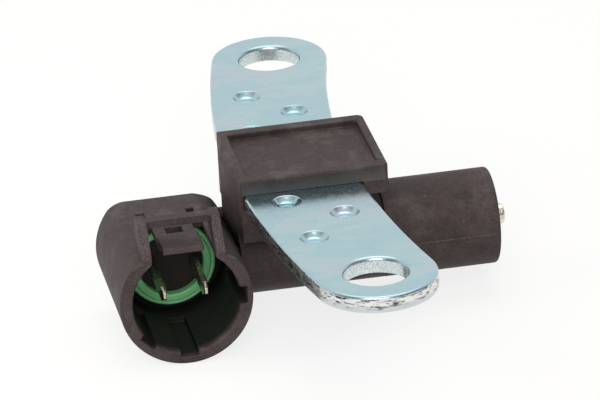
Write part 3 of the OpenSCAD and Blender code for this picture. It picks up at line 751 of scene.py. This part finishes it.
def makeShearGroup(look):
    group, given, result = newGroup("shearedEdge", {"Thickness": 2.2, "Hole Y": 37, "Hole Reach": 5},
                                    ("Side", "Burnish", "Chips", "Hole", "Grit"))
    spot = placeInMm(group, (-1300, 300))
    axes = splitAxes(group, (-950, 500), spot)
    wobble = noiseNode(group, (-950, 250), spot, look["wobble"], detail=5, rough=0.7)
    most = look["wobbleShift"]
    shift = rangeNode(group, (-750, 250), wobble, *look["wobbleSpan"], -most, most, smooth=False)
    share = mathNode(group, (-750, 500), "DIVIDE", axes["Z"], given["Thickness"])
    level = mathNode(group, (-550, 400), "ADD", share, shift)
    above = rangeNode(group, (-350, 450), level, *look["bandLow"])
    below = rangeNode(group, (-350, 250), level, *look["bandHigh"], 1, 0)
    ragged = noiseNode(group, (-950, -50), placeInMm(group, (-1300, -50), look["chipStretch"]), look["chips"],
                       detail=6, rough=0.72)
    torn = rangeNode(group, (-550, -50), ragged, *look["chipSpan"])
    lines = mathNode(group, (-100, -100), "MAXIMUM", lineMask(group, (-350, 50), level, look["lowLine"]),
                     lineMask(group, (-350, -250), level, look["highLine"]))
    tilt = facingAxes(group, (-950, -500), "True Normal")["Z"]
    flatness = mathNode(group, (-550, -500), "ABSOLUTE", tilt)
    side = rangeNode(group, (-350, -500), flatness, *look["sideTilt"], 1, 0)
    along = mathNode(group, (-550, -700), "SUBTRACT", mathNode(group, (-750, -700), "ABSOLUTE", axes["Y"]),
                     given["Hole Y"])
    hole = mathNode(group, (150, -750), "LESS_THAN", lengthOf(group, (-350, -700), along, axes["X"]),
                    given["Hole Reach"])
    outer = mathNode(group, (300, -500), "MULTIPLY", side, mathNode(group, (200, -650), "SUBTRACT", 1, hole))
    band = mathNode(group, (100, 400), "MULTIPLY", above, below)
    chips = mathNode(group, (100, -150), "MULTIPLY", torn, lines)
    gritSpot = placeInMm(group, (-1300, -1000), look["gritStretch"])
    drawn = noiseNode(group, (-950, -1000), gritSpot, 1, detail=4, rough=0.7)
    group.links.new(side, result["Side"])
    group.links.new(mathNode(group, (500, 400), "MULTIPLY", band, outer), result["Burnish"])
    group.links.new(mathNode(group, (500, 0), "MULTIPLY", chips, outer), result["Chips"])
    group.links.new(mathNode(group, (500, -750), "MULTIPLY", hole, side), result["Hole"])
    group.links.new(rangeNode(group, (-550, -1000), drawn, *look["gritSpan"]), result["Grit"])
    return group


def zincMaterial(name, look):
    material, tree, shader = newMaterial(name)
    sheen = useGroup(tree, makeSheenGroup(look), (-800, 300))
    shear = useGroup(tree, makeShearGroup(look), (-800, 0), thickness=look["top"], holeY=look["holeY"],
                     holeReach=look["holeReach"])
    rim = useGroup(tree, edgeWear, (0, 600), **look["rim"])
    wall = mixColour(tree, (0, 400), shear["Grit"], look["holeDull"], look["holePale"])
    colour = mixColour(tree, (-400, 300), shear["Side"], sheen["Tint"], look["lowBand"])
    colour = mixColour(tree, (-200, 250), shear["Burnish"], colour, look["burnish"])
    colour = mixColour(tree, (0, 200), shear["Chips"], colour, look["chip"])
    colour = mixColour(tree, (200, 300), shear["Hole"], colour, wall)
    colour = mixColour(tree, (400, 300), rim["Mask"], colour, look["burnish"])
    tree.links.new(colour, shader["Base Color"])
    rough = mathNode(tree, (-200, -50), "ADD", sheen["Rough"],
                     mathNode(tree, (-400, -100), "MULTIPLY", shear["Side"], look["sideRough"]))
    tree.links.new(rough, shader["Roughness"])
    shader["Metallic"].default_value = 1
    relief = mathNode(tree, (0, -300), "SUBTRACT", sheen["Height"],
                      mathNode(tree, (-200, -350), "MULTIPLY", shear["Chips"], look["chipDepth"]))
    scored = mathNode(tree, (0, -500), "MULTIPLY", shear["Grit"], shear["Side"])
    height = mathNode(tree, (200, -400), "ADD", relief, scored)
    bumpInto(tree, shader, height, look["bump"], look["bumpDepth"])
    return material


def placeDimples(s):
    arcX = math.sqrt(s["arcR"] ** 2 - s["holeY"] ** 2)
    middles = []
    for side in (-1, 1):
        for k, offset in enumerate((s["dimpleSide"], -s["dimpleSide"], s["dimpleSide"])):
            turn = math.radians(side * (s["dimpleFirst"] + k * s["dimpleStep"]))
            reach = s["arcR"] + offset
            middles.append(Vector((arcX - reach * math.cos(turn), -reach * math.sin(turn), s["top"])))
    return middles


dimples = placeDimples(strip)


def fromHole(spot):
    return math.hypot(spot.x, abs(spot.y) - strip["holeY"])


def stripWidth(spot):
    s = strip
    if spot.z < near:
        return s["under"]
    if spot.z < s["top"] - near:
        return 0 if abs(s["top"] - spot.z - s["dimpleDepth"]) < 2 * near else s["corner"]
    if fromHole(spot) < s["holeR"] + 4 * near:
        return s["holeRoll"]
    if any((spot - middle).length < s["dimpleR"] + s["dimpleMore"] + 2 * near for middle in dimples):
        return s["dimpleRim"]
    return s["rollOver"]


def stripMove(spot):
    s = strip
    rise = 1 - (s["top"] - spot.z) / s["dimpleDepth"]
    if rise < -s["bowlSlack"]:
        return spot
    for middle in dimples:
        out = Vector((spot.x - middle.x, spot.y - middle.y, 0))
        if out.length < s["dimpleR"] + near:  # the cone becomes a bowl
            flare = s["dimpleR"] + s["dimpleMore"] - s["bowlR"]
            reach = s["bowlR"] + flare * max(rise, 0) ** s["bowlCurve"]
            return Vector((middle.x, middle.y, spot.z)) + out.normalized() * reach
    return spot


def stripWear(spot):
    s = strip
    if spot.z <= s["top"] - s["holeRoll"]:
        return 0
    return s["holeWear"] if fromHole(spot) < s["holeR"] + s["holeWearReach"] else s["edgeWear"]


stripMesh = roundedCopy("mounting_strip", stripWidth, strip["segments"], stripWear, moveOf=stripMove)
addPiece("mounting_strip", stripMesh, zincMaterial("zincPlate", strip))
print("strip made")


# seal of green silicone
seal = {"base": (0.27, 0.72, 0.32), "deep": (0.2, 0.62, 0.25), "pale": (0.42, 0.82, 0.48), "grain": 4,
        "speckShare": 0.05, "wear": {"least": 0.3, "most": 0.7}, "tone": (0.35, 0.65), "mottle": (0.3, 0.7),
        "rough": (0.28, 0.42), "glowWeight": 0.15, "glowRadius": (0.2 * mm, 0.5 * mm, 0.2 * mm),
        "bump": 0.15, "bumpDepth": 0.02, "width": 0.12, "segments": 3}


def sealMaterial(name, look):
    material, tree, shader = newMaterial(name)
    grain = useGroup(tree, mouldGrain, (-700, 200), grain=look["grain"], speckShare=look["speckShare"])
    wear = useGroup(tree, edgeWear, (-700, -50), **look["wear"])
    tone = rangeNode(tree, (-450, 400), grain["Mottle"], *look["tone"])
    colour = mixColour(tree, (-200, 400), tone, look["base"], look["deep"])
    colour = mixColour(tree, (0, 300), wear["Mask"], colour, look["pale"])
    tree.links.new(colour, shader["Base Color"])
    rough = rangeNode(tree, (-200, 0), grain["Mottle"], *look["mottle"], *look["rough"])
    tree.links.new(rough, shader["Roughness"])
    shader["Subsurface Weight"].default_value = look["glowWeight"]
    shader["Subsurface Radius"].default_value = look["glowRadius"]
    shader["Subsurface Scale"].default_value = 1
    bumpInto(tree, shader, grain["Height"], look["bump"], look["bumpDepth"])
    return material


addPiece("connector_seal", roundedCopy("connector_seal", lambda spot: seal["width"], seal["segments"]),
         sealMaterial("sealRubber", seal))
print("seal made")


# tinned blades and turned pole pin
blade = {"base": (0.62, 0.55, 0.43), "dull": (0.42, 0.37, 0.29), "bright": (0.85, 0.8, 0.68),
         "rough": (0.2, 0.36), "lines": (0.3, 6, 6), "width": 0.07, "segments": 2}
pin = {"base": (0.84, 0.78, 0.65), "dull": (0.5, 0.44, 0.35), "bright": (0.92, 0.86, 0.74),
       "rough": (0.14, 0.28), "lines": (9, 0.4, 0.4), "width": 0.1, "tipWidth": 0.35, "tipX": 20,
       "segments": 4}
metalFinish = {"cloud": 0.8, "cloudSpan": (0.35, 0.65), "lineSpan": (0.58, 0.68), "roughSpan": (0.3, 0.7),
               "bump": 0.12, "bumpDepth": 0.02, "wear": {"patch": 1.5, "least": 0.3, "most": 0.55}}
socketFloor = -1.25  # what lies behind it, inside the moulding, stays sharp


def metalMaterial(name, look):
    material, tree, shader = newMaterial(name)
    finish = metalFinish
    wear = useGroup(tree, edgeWear, (-700, -100), **finish["wear"])
    drawn = noiseNode(tree, (-500, 300), placeInMm(tree, (-900, 300), look["lines"]), 1, detail=4, rough=0.7)
    cloud = noiseNode(tree, (-500, 50), placeInMm(tree, (-900, 50)), finish["cloud"], detail=5, rough=0.65)
    patches = rangeNode(tree, (-300, 100), cloud, *finish["cloudSpan"])
    lines = rangeNode(tree, (-300, 300), drawn, *finish["lineSpan"])
    colour = mixColour(tree, (-100, 300), patches, look["base"], look["dull"])
    colour = mixColour(tree, (50, 300), lines, colour, look["dull"])
    colour = mixColour(tree, (200, 200), wear["Mask"], colour, look["bright"])
    tree.links.new(colour, shader["Base Color"])
    rough = rangeNode(tree, (-100, 0), drawn, *finish["roughSpan"], *look["rough"])
    tree.links.new(rough, shader["Roughness"])
    shader["Metallic"].default_value = 1
    bumpInto(tree, shader, drawn, finish["bump"], finish["bumpDepth"])
    return material


def inSocket(width):
    return lambda spot: width if spot.y < socketFloor else 0


def pinWidth(spot):
    return pin["tipWidth"] if spot.x > pin["tipX"] else pin["width"]


tinned = metalMaterial("tinnedBlade", blade)
for node in ("terminal_left", "terminal_right"):
    addPiece(node, roundedCopy(node, inSocket(blade["width"]), blade["segments"]), tinned)

# carrier of the terminals, black plastic; its shade colour is painted shade in crevices
carrier = {"base": (0.022, 0.016, 0.017), "faded": (0.036, 0.028, 0.029), "shade": (0.008, 0.007, 0.007),
           "worn": (0.08, 0.075, 0.07), "dust": (0.08, 0.075, 0.07), "grain": 7, "speckShare": 0.15,
           "dustAmount": 0.15, "bump": 0.25, "width": 0.08, "segments": 2}
addPiece("terminal_carrier", roundedCopy("terminal_carrier", inSocket(carrier["width"]), carrier["segments"]),
         plasticMaterial("carrierPlastic", carrier))
addPiece("pole_pin", roundedCopy("pole_pin", pinWidth, pin["segments"]), metalMaterial("poleSteel", pin))
print("terminals, carrier and pole pin made")


# pieces of the coil, closed inside the nose
# the bobbin's shade colour is painted shade in its crevices
bobbin = {"base": (0.58, 0.5, 0.36), "faded": (0.68, 0.61, 0.46), "shade": (0.3, 0.25, 0.17),
          "worn": (0.75, 0.7, 0.58), "dust": (0.6, 0.55, 0.45), "grain": 6, "speckShare": 0.1,
          "dustAmount": 0.1, "bump": 0.2}
winding = {"copper": (0.6, 0.22, 0.08), "lacquer": (0.32, 0.08, 0.03), "turn": 0.12, "rough": (0.5, 0.25),
           "metal": 0.9, "bump": 0.6, "bumpDepth": 0.05}
tape = {"film": (0.75, 0.56, 0.1), "lap": (0.5, 0.34, 0.05), "laps": 0.07, "creases": 0.8,
        "creaseSpan": (0.3, 0.7), "rough": (0.15, 0.3), "bump": 0.3, "bumpDepth": 0.05}
magnet = {"base": (0.16, 0.16, 0.17), "pale": (0.32, 0.32, 0.33), "pores": 3, "tone": (0.4, 0.7),
          "poreSpan": (0.3, 0.7), "rough": (0.7, 0.45), "metal": 0.7, "bump": 0.4, "bumpDepth": 0.03}
waveLength = 0.314  # of Blender's wave texture at scale 1


def windingMaterial(name, look):
    material, tree, shader = newMaterial(name)
    turns = addNode(tree, "ShaderNodeTexWave", (-500, 200), bands_direction="X")
    setInputs(turns, {"Scale": waveLength / look["turn"], "Distortion": 0.6, "Detail": 2})
    tree.links.new(placeInMm(tree, (-900, 200)), turns.inputs["Vector"])
    wire = turns.outputs["Fac"]
    tree.links.new(mixColour(tree, (-100, 200), wire, look["lacquer"], look["copper"]), shader["Base Color"])
    tree.links.new(rangeNode(tree, (-100, 0), wire, 0, 1, *look["rough"]), shader["Roughness"])
    shader["Metallic"].default_value = look["metal"]
    bumpInto(tree, shader, wire, look["bump"], look["bumpDepth"])
    return material


def tapeMaterial(name, look):
    material, tree, shader = newMaterial(name)
    spot = placeInMm(tree, (-900, 200))
    laps = addNode(tree, "ShaderNodeTexWave", (-500, 200), bands_direction="X", wave_profile="SAW")
    setInputs(laps, {"Scale": look["laps"], "Distortion": 0.3, "Detail": 1})
    tree.links.new(spot, laps.inputs["Vector"])
    creases = noiseNode(tree, (-500, -100), spot, look["creases"], detail=4, rough=0.6)
    colour = mixColour(tree, (-100, 200), laps.outputs["Fac"], look["lap"], look["film"])
    tree.links.new(colour, shader["Base Color"])
    rough = rangeNode(tree, (-100, 0), creases, *look["creaseSpan"], *look["rough"])
    tree.links.new(rough, shader["Roughness"])
    bumpInto(tree, shader, creases, look["bump"], look["bumpDepth"])
    return material


def magnetMaterial(name, look):
    material, tree, shader = newMaterial(name)
    pores = noiseNode(tree, (-500, 200), placeInMm(tree, (-900, 200)), look["pores"], detail=6, rough=0.75)
    tone = rangeNode(tree, (-300, 200), pores, *look["tone"])
    tree.links.new(mixColour(tree, (-100, 200), tone, look["base"], look["pale"]), shader["Base Color"])
    tree.links.new(rangeNode(tree, (-100, 0), pores, *look["poreSpan"], *look["rough"]), shader["Roughness"])
    shader["Metallic"].default_value = look["metal"]
    bumpInto(tree, shader, pores, look["bump"], look["bumpDepth"])
    return material


hidden = {"coil_bobbin": plasticMaterial("bobbinPlastic", bobbin),
          "coil_winding": windingMaterial("copperWinding", winding),
          "winding_tape": tapeMaterial("windingTape", tape),
          "bias_magnet": magnetMaterial("magnetAlloy", magnet)}
for node, material in hidden.items():
    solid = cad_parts[node]
    if not solid.material_slots:
        solid.data.materials.append(material)
    for place in solid.material_slots:
        place.material = material
print("coil pieces dressed")
